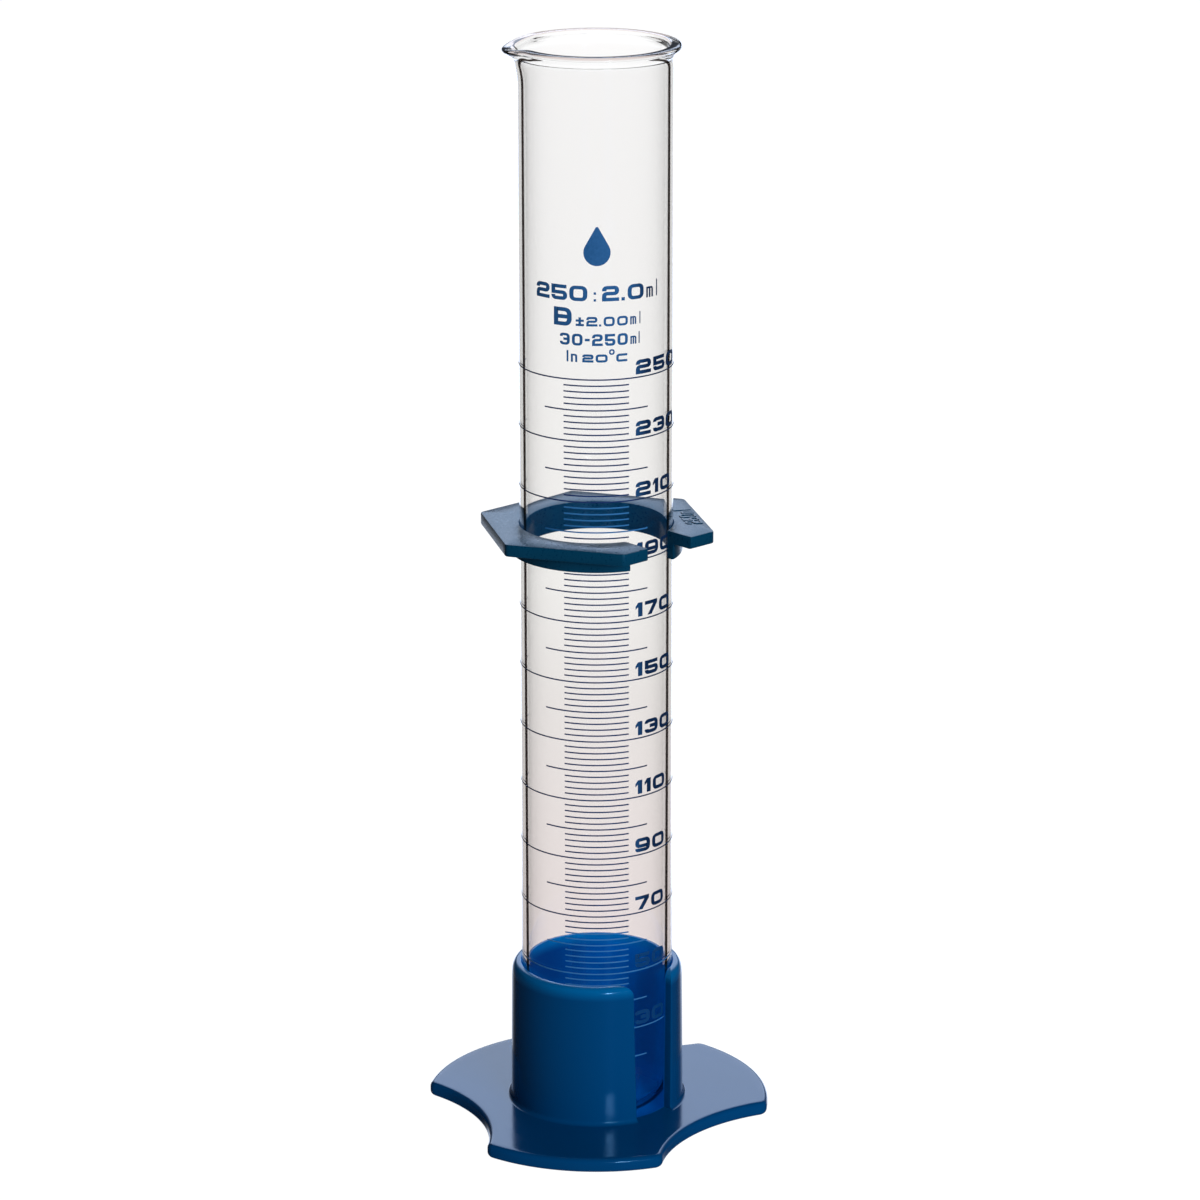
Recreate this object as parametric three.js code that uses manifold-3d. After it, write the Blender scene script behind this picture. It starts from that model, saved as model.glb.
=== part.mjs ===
// Graduated measuring cylinder, 250 ml, with a detachable plastic base and a sliding bumper guard.
// Millimetres, +Z up. The origin is on the tube's axis, in the plane that the base stands on.
// The spout points to -X and the scale's lines face the front, -Y.

import * as THREE from 'three';
import { mergeVertices } from 'three/addons/utils/BufferGeometryUtils.js';
import Module from 'manifold-3d';

const wasm = await Module();
wasm.setup();

// ---- driving dimensions ------------------------------------------------------------------

const CLEARANCE = 0.3;          // kept between pieces that rest on each other

// foot of the base: three round lobes between three concave scallops
const FOOT_RADIUS = 47.9;
const FOOT_THICKNESS = 4.0;
const FOOT_EDGE_ROUND = 1.4;
const LOBE_COUNT = 3;
const LOBE_BEARING = -6.8;      // degrees from the front towards +X, middle of the front lobe
const SCALLOP_RADIUS = 47.2;
const SCALLOP_DISTANCE = 82.5;  // from the axis to the centre of a scallop's arc
const LOBE_CORNER_RADIUS = 3.0;

// socket of the base, which holds the tube
const SOCKET_BORE_RADIUS = 21.0;
const SOCKET_FLOOR_Z = 1.6;
const SOCKET_TOP_Z = 44.0;
const SOCKET_FOOT_RADIUS = 24.0;
const SOCKET_TOP_RADIUS = 23.7;
const SOCKET_CREST_WIDTH = 0.6;
const SOCKET_SHOULDER_HEIGHT = 3.4;

// the figures of the scale are read through a slit in the base and a gap in the guard
const WINDOW_BEARING = 45.0;
const SLIT_FOOT_WIDTH = 12.8;
const SLIT_TOP_WIDTH = 14.2;
const SLIT_CORNER_RADIUS = 2.7;
const GUARD_GAP_WIDTH = 15.8;

// glass tube
const TUBE_RADIUS = 20.85;
const TUBE_WALL = 1.4;
const TUBE_BOTTOM_THICKNESS = 1.87;
const TUBE_CORNER_RADIUS = 10.4;
const RIM_TOP_Z = 302.1;
const RIM_FLARE_HEIGHT = 5.0;
const RIM_BEAD_RADIUS = 0.8;     // outer edge of the lip
const RIM_INNER_ROUND = 0.9;
const RIM_RADIUS = 22.8;
const SPOUT_BEARING = -90;
const SPOUT_REACH = 2.4;        // how far the lip stands out beyond the rim
const SPOUT_DIP = 1.5;
const SPOUT_HALF_ANGLE = 38;
const SPOUT_HEIGHT = 11;

// bumper guard: a hexagonal plate with a round skirt under it
const GUARD_CORNER_DISTANCE = 33.2;
const GUARD_CORNER_ROUND = 0.8;
const GUARD_FIRST_CORNER_BEARING = 15;
const GUARD_PLATE_THICKNESS = 3.4;
const GUARD_TOP_Z = 170.9;
const GUARD_SKIRT_BOTTOM_Z = 163.1;
const GUARD_SKIRT_RADIUS = 23.4;
const GUARD_BORE_RADIUS = 21.0;

const ROUND_SEGMENTS = 64;        // flats round each turned shape

// ---- materials ---------------------------------------------------------------------------

const clearGlass = new THREE.MeshStandardMaterial({
  name: 'clear_glass', color: 0xdfe6e6, roughness: 0.05, metalness: 0,
  transparent: true, opacity: 0.35,
});
const bluePlastic = new THREE.MeshStandardMaterial({
  name: 'blue_plastic', color: 0x003a6e, roughness: 0.25, metalness: 0,
});
const grainedBluePlastic = new THREE.MeshStandardMaterial({
  name: 'grained_blue_plastic', color: 0x123d5e, roughness: 0.55, metalness: 0,
});

// ---- helpers -----------------------------------------------------------------------------

const radians = THREE.MathUtils.degToRad;

// Angle about +Z, from +X, of a bearing that is measured from the front (-Y) towards +X.
const turn = (bearing) => radians(bearing - 90);

// A point in plan, from its angle about the axis and its distance from it.
const polar = (angle, distance) => (
  new THREE.Vector2(Math.cos(angle), Math.sin(angle)).multiplyScalar(distance)
);

// A closed solid from a geometry: vertices in the same place become one, and empty slivers go.
function solid(geometry) {
  const bare = geometry.clone();
  bare.deleteAttribute('normal');
  bare.deleteAttribute('uv');
  const merged = mergeVertices(bare, 1e-4);
  const corners = merged.index.array;
  const triangles = [];
  for (let i = 0; i < corners.length; i += 3) {
    const [a, b, c] = corners.slice(i, i + 3);
    if (a !== b && b !== c && c !== a) triangles.push(a, b, c);
  }
  const mesh = new wasm.Mesh({
    numProp: 3,
    vertProperties: new Float32Array(merged.attributes.position.array),
    triVerts: new Uint32Array(triangles),
  });
  return new wasm.Manifold(mesh);
}

function toGeometry(body) {
  const { vertProperties, triVerts } = body.getMesh();
  const geometry = new THREE.BufferGeometry();
  geometry.setAttribute('position', new THREE.BufferAttribute(vertProperties, 3));
  geometry.setIndex(new THREE.BufferAttribute(triVerts, 1));
  geometry.computeVertexNormals();
  return geometry;
}

// Turns an outline of (radius, height) points about +Z.
function revolve(points) {
  return new THREE.LatheGeometry(points, ROUND_SEGMENTS).rotateX(Math.PI / 2);
}

// A round bar about +Z.
function bar(radius, fromZ, toZ) {
  const geometry = new THREE.CylinderGeometry(radius, radius, toZ - fromZ, ROUND_SEGMENTS);
  return solid(geometry.rotateX(Math.PI / 2).translate(0, 0, (fromZ + toZ) / 2));
}

function named(name, geometry, material) {
  const mesh = new THREE.Mesh(geometry, material);
  mesh.name = name;
  return mesh;
}

// ---- base --------------------------------------------------------------------------------

// Outline of the foot. Each lobe is an arc about the axis, and a small arc at each of its two
// corners runs over into the scallop beside it.
function footOutline() {
  const cornerDistance = FOOT_RADIUS - LOBE_CORNER_RADIUS;
  const reach = SCALLOP_RADIUS + LOBE_CORNER_RADIUS;
  const half = Math.acos(
    (SCALLOP_DISTANCE ** 2 + cornerDistance ** 2 - reach ** 2)
    / (2 * SCALLOP_DISTANCE * cornerDistance),
  );
  const step = (2 * Math.PI) / LOBE_COUNT;
  const shape = new THREE.Shape();
  for (let lobe = 0; lobe < LOBE_COUNT; lobe += 1) {
    const middle = turn(LOBE_BEARING) + lobe * step;
    const before = middle - step / 2;
    const after = middle + step / 2;
    const first = polar(before + half, cornerDistance);
    const last = polar(after - half, cornerDistance);
    const scallop = polar(after, SCALLOP_DISTANCE);
    const fromFirst = polar(before, SCALLOP_DISTANCE).sub(first).angle();
    const fromLast = scallop.clone().sub(last).angle();
    const intoNext = polar(after + half, cornerDistance).sub(scallop).angle();
    shape.absarc(first.x, first.y, LOBE_CORNER_RADIUS, fromFirst, before + half, false);
    shape.absarc(0, 0, FOOT_RADIUS, before + half, after - half, false);
    shape.absarc(last.x, last.y, LOBE_CORNER_RADIUS, after - half, fromLast, false);
    shape.absarc(scallop.x, scallop.y, SCALLOP_RADIUS, fromLast + Math.PI, intoNext, true);
  }
  return shape;
}

function footPlate() {
  return solid(new THREE.ExtrudeGeometry(footOutline(), {
    depth: FOOT_THICKNESS - 2 * FOOT_EDGE_ROUND,
    curveSegments: 5,
    bevelThickness: FOOT_EDGE_ROUND,
    bevelSize: FOOT_EDGE_ROUND,
    bevelOffset: -FOOT_EDGE_ROUND,
    bevelSegments: 2,
  }).translate(0, 0, FOOT_EDGE_ROUND));
}

// The sleeve round the tube, solid for now, with a rounded shoulder up to a narrow crest.
function socketSleeve() {
  const crestRadius = SOCKET_BORE_RADIUS + SOCKET_CREST_WIDTH;
  const shoulderZ = SOCKET_TOP_Z - SOCKET_SHOULDER_HEIGHT;
  const profile = new THREE.Path();
  profile.moveTo(0, FOOT_THICKNESS / 2);
  profile.lineTo(SOCKET_FOOT_RADIUS, FOOT_THICKNESS / 2);
  profile.lineTo(SOCKET_TOP_RADIUS, shoulderZ);
  profile.quadraticCurveTo(SOCKET_TOP_RADIUS, SOCKET_TOP_Z, crestRadius, SOCKET_TOP_Z);
  profile.lineTo(0, SOCKET_TOP_Z);
  return solid(revolve(profile.getPoints(5)));
}

// The slit widens a little towards the top, where its two corners are rounded.
function slitCutter() {
  const above = SOCKET_TOP_Z + 5;
  const cornerZ = SOCKET_TOP_Z - SLIT_CORNER_RADIUS;
  const cornerX = SLIT_TOP_WIDTH / 2 + SLIT_CORNER_RADIUS;
  const section = new THREE.Shape();
  section.moveTo(-SLIT_FOOT_WIDTH / 2, FOOT_THICKNESS);
  section.lineTo(SLIT_FOOT_WIDTH / 2, FOOT_THICKNESS);
  section.absarc(cornerX, cornerZ, SLIT_CORNER_RADIUS, Math.PI, Math.PI / 2, true);
  section.lineTo(cornerX, above);
  section.lineTo(-cornerX, above);
  section.absarc(-cornerX, cornerZ, SLIT_CORNER_RADIUS, Math.PI / 2, 0, true);
  const cutter = new THREE.ExtrudeGeometry(section, {
    depth: 40, curveSegments: 3, bevelEnabled: false,
  });
  cutter.rotateX(Math.PI / 2);
  return solid(cutter.rotateZ(radians(WINDOW_BEARING)));
}

function base() {
  const bore = bar(SOCKET_BORE_RADIUS, SOCKET_FLOOR_Z, SOCKET_TOP_Z + 5);
  return toGeometry(footPlate().add(socketSleeve()).subtract(bore).subtract(slitCutter()));
}

// ---- glass tube --------------------------------------------------------------------------

// The wall thickens outwards into a lip at the top; the bore stays straight up to the lip's edge.
function tubeProfile() {
  const bottom = SOCKET_FLOOR_Z + CLEARANCE;
  const inside = TUBE_RADIUS - TUBE_WALL;
  const insideBottom = bottom + TUBE_BOTTOM_THICKNESS;
  const insideCorner = TUBE_CORNER_RADIUS - TUBE_WALL;
  const cornerX = TUBE_RADIUS - TUBE_CORNER_RADIUS;
  const flareZ = RIM_TOP_Z - RIM_FLARE_HEIGHT;
  const spoutZ = RIM_TOP_Z - SPOUT_HEIGHT;
  const beadX = RIM_RADIUS - RIM_BEAD_RADIUS;
  const beadZ = RIM_TOP_Z - RIM_BEAD_RADIUS;
  const beadStart = radians(-41);
  const underBead = polar(beadStart, RIM_BEAD_RADIUS).add(new THREE.Vector2(beadX, beadZ));
  const profile = new THREE.Path();
  profile.moveTo(0, bottom);
  profile.lineTo(cornerX, bottom);
  profile.absarc(cornerX, bottom + TUBE_CORNER_RADIUS, TUBE_CORNER_RADIUS, -Math.PI / 2, 0, false);
  profile.lineTo(TUBE_RADIUS, spoutZ);
  profile.lineTo(TUBE_RADIUS, flareZ);
  profile.quadraticCurveTo(TUBE_RADIUS, flareZ + RIM_FLARE_HEIGHT / 2, underBead.x, underBead.y);
  profile.absarc(beadX, beadZ, RIM_BEAD_RADIUS, beadStart, Math.PI / 2, false);
  profile.lineTo(inside + RIM_INNER_ROUND, RIM_TOP_Z);
  profile.quadraticCurveTo(inside, RIM_TOP_Z, inside, RIM_TOP_Z - RIM_INNER_ROUND);
  profile.lineTo(inside, flareZ);
  profile.lineTo(inside, spoutZ);
  profile.absarc(cornerX, insideBottom + insideCorner, insideCorner, 0, -Math.PI / 2, true);
  profile.lineTo(0, insideBottom);
  return profile.getPoints(3);
}

// Draws the rim out and down into a pouring spout.
function formSpout(geometry) {
  const points = geometry.attributes.position;
  const spoutZ = RIM_TOP_Z - SPOUT_HEIGHT;
  for (let i = 0; i < points.count; i += 1) {
    const [x, y, z] = [points.getX(i), points.getY(i), points.getZ(i)];
    const away = Math.abs(THREE.MathUtils.euclideanModulo(
      Math.atan2(y, x) - turn(SPOUT_BEARING) + Math.PI, 2 * Math.PI) - Math.PI);
    const across = 0.5 + 0.5 * Math.cos(Math.min(1, away / radians(SPOUT_HALF_ANGLE)) * Math.PI);
    const upward = THREE.MathUtils.clamp((z - spoutZ) / SPOUT_HEIGHT, 0, 1) ** 2;
    const scale = 1 + (SPOUT_REACH * across * upward) / Math.max(1, Math.hypot(x, y));
    points.setXYZ(i, x * scale, y * scale, z - SPOUT_DIP * across * upward);
  }
  return geometry;
}

function glassTube() {
  return toGeometry(solid(formSpout(revolve(tubeProfile()))));
}

// ---- bumper guard ------------------------------------------------------------------------

function hexagon() {
  const corners = Array.from({ length: 6 }, (_, i) => {
    const angle = turn(GUARD_FIRST_CORNER_BEARING + i * 60);
    return new THREE.Vector2(Math.cos(angle), Math.sin(angle)).multiplyScalar(GUARD_CORNER_DISTANCE);
  });
  const shape = new THREE.Shape();
  corners.forEach((corner, i) => {
    const start = corner.clone().lerp(corners[(i + 5) % 6], GUARD_CORNER_ROUND / GUARD_CORNER_DISTANCE);
    const end = corner.clone().lerp(corners[(i + 1) % 6], GUARD_CORNER_ROUND / GUARD_CORNER_DISTANCE);
    if (i === 0) shape.moveTo(start.x, start.y);
    else shape.lineTo(start.x, start.y);
    shape.quadraticCurveTo(corner.x, corner.y, end.x, end.y);
  });
  shape.closePath();
  return shape;
}

function bumperGuard() {
  const plateZ = GUARD_TOP_Z - GUARD_PLATE_THICKNESS;
  const plate = new THREE.ExtrudeGeometry(hexagon(), {
    depth: GUARD_PLATE_THICKNESS, curveSegments: 3, bevelEnabled: false,
  }).translate(0, 0, plateZ);
  const skirt = bar(GUARD_SKIRT_RADIUS, GUARD_SKIRT_BOTTOM_Z, plateZ + 1);
  const bore = bar(GUARD_BORE_RADIUS, GUARD_SKIRT_BOTTOM_Z - 1, GUARD_TOP_Z + 1);
  const gap = new THREE.BoxGeometry(GUARD_GAP_WIDTH, 40, 20);
  gap.translate(0, -20, (GUARD_SKIRT_BOTTOM_Z + GUARD_TOP_Z) / 2).rotateZ(radians(WINDOW_BEARING));
  return toGeometry(solid(plate).add(skirt).subtract(bore).subtract(solid(gap)));
}

// ---- assembly ----------------------------------------------------------------------------

const group = new THREE.Group();
group.name = 'graduated_cylinder';
group.add(named('base', base(), bluePlastic));
group.add(named('glass_cylinder', glassTube(), clearGlass));
group.add(named('bumper_guard', bumperGuard(), grainedBluePlastic));

export default group;
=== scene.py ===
"""Looks of a 250 ml graduated cylinder: glass tube, plastic base, bumper guard and enamel scale.

Numbers are in millimetres until a mesh is made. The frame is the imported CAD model's: +Z up, the
origin on the tube's axis in the plane that the base stands on, and the front towards -Y. A bearing
is an angle in degrees from the front towards +X.
"""

import math

import bpy
import numpy as np
from mathutils import Matrix, Vector


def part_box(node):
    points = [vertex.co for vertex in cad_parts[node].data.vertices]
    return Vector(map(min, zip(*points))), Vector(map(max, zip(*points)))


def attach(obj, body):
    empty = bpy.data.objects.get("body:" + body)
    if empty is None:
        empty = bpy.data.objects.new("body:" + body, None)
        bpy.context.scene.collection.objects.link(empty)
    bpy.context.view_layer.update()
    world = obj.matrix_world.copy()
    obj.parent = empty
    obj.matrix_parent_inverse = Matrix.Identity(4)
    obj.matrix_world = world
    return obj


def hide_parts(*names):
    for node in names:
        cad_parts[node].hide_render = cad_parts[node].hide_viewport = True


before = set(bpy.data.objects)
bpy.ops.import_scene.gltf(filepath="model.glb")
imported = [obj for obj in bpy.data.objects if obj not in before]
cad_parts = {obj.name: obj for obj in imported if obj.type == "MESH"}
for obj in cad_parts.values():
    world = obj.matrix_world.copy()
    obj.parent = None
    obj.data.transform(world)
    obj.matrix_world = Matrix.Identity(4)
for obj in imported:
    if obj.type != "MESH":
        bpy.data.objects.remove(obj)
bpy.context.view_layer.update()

MM = 0.001


# ---- camera ---------------------------------------------------------------------------------

CAMERA_PLACE = (45.67, -1272.02, 535.86)
CAMERA_TURN = 2.013      # degrees, to the left of +Y
CAMERA_DOWN = 16.923
CAMERA_ROLL = -0.0616
CAMERA_LENS = 146.4      # on a sensor 36 wide


def make_camera():
    data = bpy.data.cameras.new("camera")
    data.lens, data.sensor_width = CAMERA_LENS, 36
    data.clip_start, data.clip_end = 0.05, 50
    camera = bpy.data.objects.new("camera", data)
    bpy.context.scene.collection.objects.link(camera)
    camera.matrix_world = (
        Matrix.Translation(Vector(CAMERA_PLACE) * MM)
        @ Matrix.Rotation(math.radians(CAMERA_TURN), 4, "Z")
        @ Matrix.Rotation(math.radians(90 - CAMERA_DOWN), 4, "X")
        @ Matrix.Rotation(math.radians(CAMERA_ROLL), 4, "Z")
    )
    bpy.context.scene.camera = camera


make_camera()


# ---- sizes, from the CAD model --------------------------------------------------------------

def height(node, which):
    """Lowest (0) or highest (1) level of a CAD node."""
    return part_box(node)[which].z / MM


FOOT_RADIUS = 47.9
FOOT_TOP = 4.0
FOOT_EDGE = 1.4
LOBE_BEARING = -6.8
SCALLOP_RADIUS = 47.2
SCALLOP_DISTANCE = 82.5
LOBE_CORNER = 3.0
FOOT_MIDDLE = 8.0        # the mesh's innermost loop

BORE_RADIUS = 21.0
SOCKET_FLOOR = 1.6
SOCKET_BREAK = 0.15      # the broken edge at the socket's mouth in the foot
SOCKET_TOP = height("base", 1)
SLEEVE_FOOT_RADIUS = 24.0
SLEEVE_TOP_RADIUS = 23.7
SLEEVE_SHOULDER = 3.4
SLEEVE_CREST = 0.6
SLEEVE_FILLET = 1.3
SLEEVE_SINK = 0.02       # so that the sleeve and the foot read as one moulding
WINDOW_BEARING = 45.0
SLIT_FOOT_HALF = 6.4
SLIT_TOP_HALF = 7.1
SLIT_CORNER = 2.7

TUBE_RADIUS = 20.85
TUBE_WALL = 1.4
TUBE_BOTTOM = height("glass_cylinder", 0)
TUBE_FLOOR_THICKNESS = 1.87
TUBE_CORNER = 10.4
RIM_TOP = height("glass_cylinder", 1)
FLARE_HEIGHT = 5.0
BEAD_RADIUS = 0.8
RIM_INNER_ROUND = 0.9
RIM_RADIUS = 22.8
SPOUT_BEARING = -90.0
SPOUT_REACH = 2.4
SPOUT_DIP = 1.5
SPOUT_HALF_ANGLE = 38.0
SPOUT_HEIGHT = 11.0

GUARD_CORNER_DISTANCE = 33.2
GUARD_TOP = height("bumper_guard", 1)
GUARD_BOTTOM = height("bumper_guard", 0)
GUARD_PLATE = 3.4
GUARD_SKIRT_RADIUS = 23.4
GUARD_GAP_HALF = 7.9

SCALE_ZERO = 5.37        # level of no contents, a little above the inside of the tube's bottom
SCALE_STEP = 0.8414      # height of one millilitre
SCALE_BEARING = 2.06     # middle of the scale
LINE_WIDTH = 0.38
RING_HALF_ANGLE = 101.0
LONG_TICK_HALF_ANGLE = 41.0
TICK_HALF_ANGLE = 24.6
ENAMEL_GAP = 0.006
ENAMEL_THICKNESS = 0.035


# ---- mesh helpers ---------------------------------------------------------------------------

def along(bearing):
    """Unit vector in plan of a bearing."""
    a = math.radians(bearing)
    return np.array([math.sin(a), -math.cos(a)])


def make_piece(name, verts, faces, material, body, sharp=40):
    mesh = bpy.data.meshes.new(name)
    mesh.from_pydata((np.asarray(verts) * MM).tolist(), [], faces)
    mesh.validate()
    mesh.shade_smooth()
    mesh.set_sharp_from_angle(angle=math.radians(sharp))
    mesh.materials.append(material)
    piece = bpy.data.objects.new(name, mesh)
    bpy.context.scene.collection.objects.link(piece)
    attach(piece, body)
    return piece


def skin(loops):
    """Vertices and quads between successive closed loops of the same length."""
    count = len(loops[0])
    faces = []
    for row in range(len(loops) - 1):
        a, b = row * count, (row + 1) * count
        for k in range(count):
            n = (k + 1) % count
            faces.append((a + k, a + n, b + n, b + k))
    return np.vstack(loops), faces


def with_poles(verts, faces, count, low, high):
    """Closes a skin of loops of count points with a vertex at each end."""
    first, last = len(verts), len(verts) + 1
    top = first - count
    for k in range(count):
        n = (k + 1) % count
        faces.append((first, n, k))
        faces.append((last, top + k, top + n))
    return np.vstack([verts, low, high]), faces


def bend(a, control, b, steps, ends=(True, True)):
    """Points of a quadratic curve from a to b, with or without its two ends."""
    a, control, b = (np.asarray(p, float) for p in (a, control, b))
    ts = [i / steps for i in range(0 if ends[0] else 1, steps + (1 if ends[1] else 0))]
    return [(1 - t) ** 2 * a + 2 * t * (1 - t) * control + t * t * b for t in ts]


def arc(centre, radius, start, end, steps):
    """Points of a circle's arc, in degrees about centre."""
    angles = np.radians(np.linspace(start, end, steps + 1))
    return [np.array([centre[0] + radius * math.cos(a), centre[1] + radius * math.sin(a)]) for a in angles]


# ---- glass tube -----------------------------------------------------------------------------

AROUND = 288


def tube_profile():
    """(radius, level) from the bottom's middle up the outside, over the rim and down the inside."""
    inside = TUBE_RADIUS - TUBE_WALL
    inner_corner = TUBE_CORNER - TUBE_WALL
    inner_bottom = TUBE_BOTTOM + TUBE_FLOOR_THICKNESS
    flare = RIM_TOP - FLARE_HEIGHT
    bead_x, bead_z = RIM_RADIUS - BEAD_RADIUS, RIM_TOP - BEAD_RADIUS
    points = [np.array([r, TUBE_BOTTOM]) for r in (3, 6.5, 9)]
    points += arc((TUBE_RADIUS - TUBE_CORNER, TUBE_BOTTOM + TUBE_CORNER), TUBE_CORNER, -90, 0, 18)
    levels = [*np.linspace(20, RIM_TOP - SPOUT_HEIGHT - 6, 9), *np.linspace(RIM_TOP - SPOUT_HEIGHT, flare, 9)]
    points += [np.array([TUBE_RADIUS, z]) for z in levels[:-1]]
    bead = arc((bead_x, bead_z), BEAD_RADIUS, -50, 84, 16)
    edge = arc((inside + RIM_INNER_ROUND, RIM_TOP - RIM_INNER_ROUND), RIM_INNER_ROUND, 96, 180, 10)
    widen = bead[0] - np.array([TUBE_RADIUS, flare])
    points += [np.array([TUBE_RADIUS, flare]) + widen * (t ** 2.5, t) for t in np.linspace(0, 1, 14)[:-1]]
    points += bead + bend(bead[-1], (bead_x - 0.7, RIM_TOP + 0.02), edge[0], 6, (False, False)) + edge
    points += [np.array([inside, z]) for z in np.linspace(RIM_TOP - 1.5, flare, 5)]
    points += [np.array([inside, z]) for z in levels[-2::-1]]
    points += arc((inside - inner_corner, inner_bottom + inner_corner), inner_corner, 0, -90, 16)
    points += [np.array([r, inner_bottom]) for r in (6.5, 3)]
    return points


def spout(points):
    """Draws the rim out and down into a pouring spout."""
    towards = along(SPOUT_BEARING)
    radius = np.hypot(points[:, 0], points[:, 1])
    away = np.degrees(np.arccos(np.clip(points[:, :2] @ towards / radius, -1, 1)))
    across = 0.5 + 0.5 * np.cos(np.minimum(1, away / SPOUT_HALF_ANGLE) * np.pi)
    upward = np.clip((points[:, 2] - (RIM_TOP - SPOUT_HEIGHT)) / SPOUT_HEIGHT, 0, 1) ** 2
    pull = across * upward
    moved = points.copy()
    moved[:, :2] *= (1 + SPOUT_REACH * pull / radius)[:, None]
    moved[:, 2] -= SPOUT_DIP * pull
    return moved


def make_tube(material):
    angles = np.radians(np.arange(AROUND) * 360 / AROUND)
    ring = np.column_stack([np.cos(angles), np.sin(angles)])
    profile = tube_profile()
    loops = [spout(np.column_stack([ring * r, np.full(AROUND, z)])) for r, z in profile]
    verts, faces = skin(loops)
    verts, faces = with_poles(verts, faces, AROUND, [0, 0, profile[0][1]], [0, 0, profile[-1][1]])
    tube = make_piece("glass_tube", verts, faces, material, "cylinder", sharp=180)
    tube.visible_shadow = False
    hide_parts("glass_cylinder")


# ---- rings with a gap: the base's sleeve and the guard ----------------------------------------

def open_ring(outer, inner, tips, gap, corner, outer_z, inner_z):
    """One level of a ring that has a gap of half-width gap, as a closed loop.

    outer and inner run from the gap's +v side round to its -v side, and tips are the u of the outer
    and the inner corner before their rounding. (u, v) is in plan, with u out through the gap's middle.
    """
    outer_tip, inner_tip = tips
    flip = np.array([1, -1])
    leave = bend(outer[-1], (outer_tip, -gap), (outer_tip - corner, -gap), 4, (False, True))
    arrive = bend((inner_tip + corner, -gap), (inner_tip, -gap), inner[-1], 4, (True, False))
    side = leave + arrive
    back = [p * flip for p in side[::-1]]
    plan = np.vstack([outer, side, inner[::-1], back])
    n, m = len(outer), len(leave)
    z = np.concatenate([
        np.full(n, outer_z), np.full(m, outer_z), np.full(m, inner_z),
        np.full(n, inner_z), np.full(m, inner_z), np.full(m, outer_z),
    ])
    u, v = along(WINDOW_BEARING), along(WINDOW_BEARING + 90)
    return np.column_stack([plan[:, :1] * u + plan[:, 1:] * v, z])


def ring_caps(loops, n):
    """The faces that close the first and last level of open rings whose outer path has n points."""
    count = len(loops[0])
    half = (count - 2 * n) // 2
    faces = []
    for base, up in ((0, False), ((len(loops) - 1) * count, True)):
        strip = [(k, k + 1, 2 * n + half - 2 - k, 2 * n + half - 1 - k) for k in range(n - 1)]
        strip.append(tuple(range(n - 1, n + half + 1)))
        strip.append((*range(2 * n + half - 1, count), 0))
        for f in strip:
            f = tuple(base + i for i in f)
            faces.append(f if up else f[::-1])
    return faces


def make_open_ring(name, levels, n, material, body):
    verts, faces = skin(levels)
    return make_piece(name, verts, faces + ring_caps(levels, n), material, body)


def circle_path(radius, gap, corner, n):
    """Points of a circle from one side of the gap round to the other."""
    start = math.asin((gap + corner) / radius)
    a = np.linspace(start, 2 * math.pi - start, n)
    return np.column_stack([radius * np.cos(a), radius * np.sin(a)])


def tip(radius, gap):
    return math.sqrt(radius ** 2 - gap ** 2)


# ---- base -----------------------------------------------------------------------------------

def foot_outline():
    """Points and outward normals of the foot's outline: three lobes between three scallops."""
    corner_distance = FOOT_RADIUS - LOBE_CORNER
    reach = SCALLOP_RADIUS + LOBE_CORNER
    half = math.degrees(math.acos(
        (SCALLOP_DISTANCE ** 2 + corner_distance ** 2 - reach ** 2) / (2 * SCALLOP_DISTANCE * corner_distance)
    ))

    def polar(angle, distance):
        return distance * np.array([math.cos(math.radians(angle)), math.sin(math.radians(angle))])

    points, normals = [], []

    def run(centre, radius, start, end, steps, outward):
        for a in np.linspace(start, end, steps, endpoint=False):
            points.append(centre + polar(a, radius))
            normals.append(polar(a, outward))

    for lobe in range(3):
        middle = LOBE_BEARING - 90 + lobe * 120
        first, last = middle - 60 + half, middle + 60 - half
        scallop = polar(middle + 60, SCALLOP_DISTANCE)
        next_first = polar(middle + 60 + half, corner_distance)
        before = polar(middle - 60, SCALLOP_DISTANCE) - polar(first, corner_distance)
        after = scallop - polar(last, corner_distance)
        back = next_first - scallop
        angle_in = math.degrees(math.atan2(before[1], before[0]))
        angle_out = math.degrees(math.atan2(after[1], after[0]))
        angle_in += 360 * round((first - 45 - angle_in) / 360)
        angle_out += 360 * round((last + 45 - angle_out) / 360)
        start = angle_out + 180
        end = math.degrees(math.atan2(back[1], back[0]))
        end += 360 * round((start - 40 - end) / 360)
        run(polar(first, corner_distance), LOBE_CORNER, angle_in, first, 10, 1)
        run(np.zeros(2), FOOT_RADIUS, first, last, 40, 1)
        run(polar(last, corner_distance), LOBE_CORNER, last, angle_out, 10, 1)
        run(scallop, SCALLOP_RADIUS, start, end, 60, -1)
    return np.array(points), np.array(normals)


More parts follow.
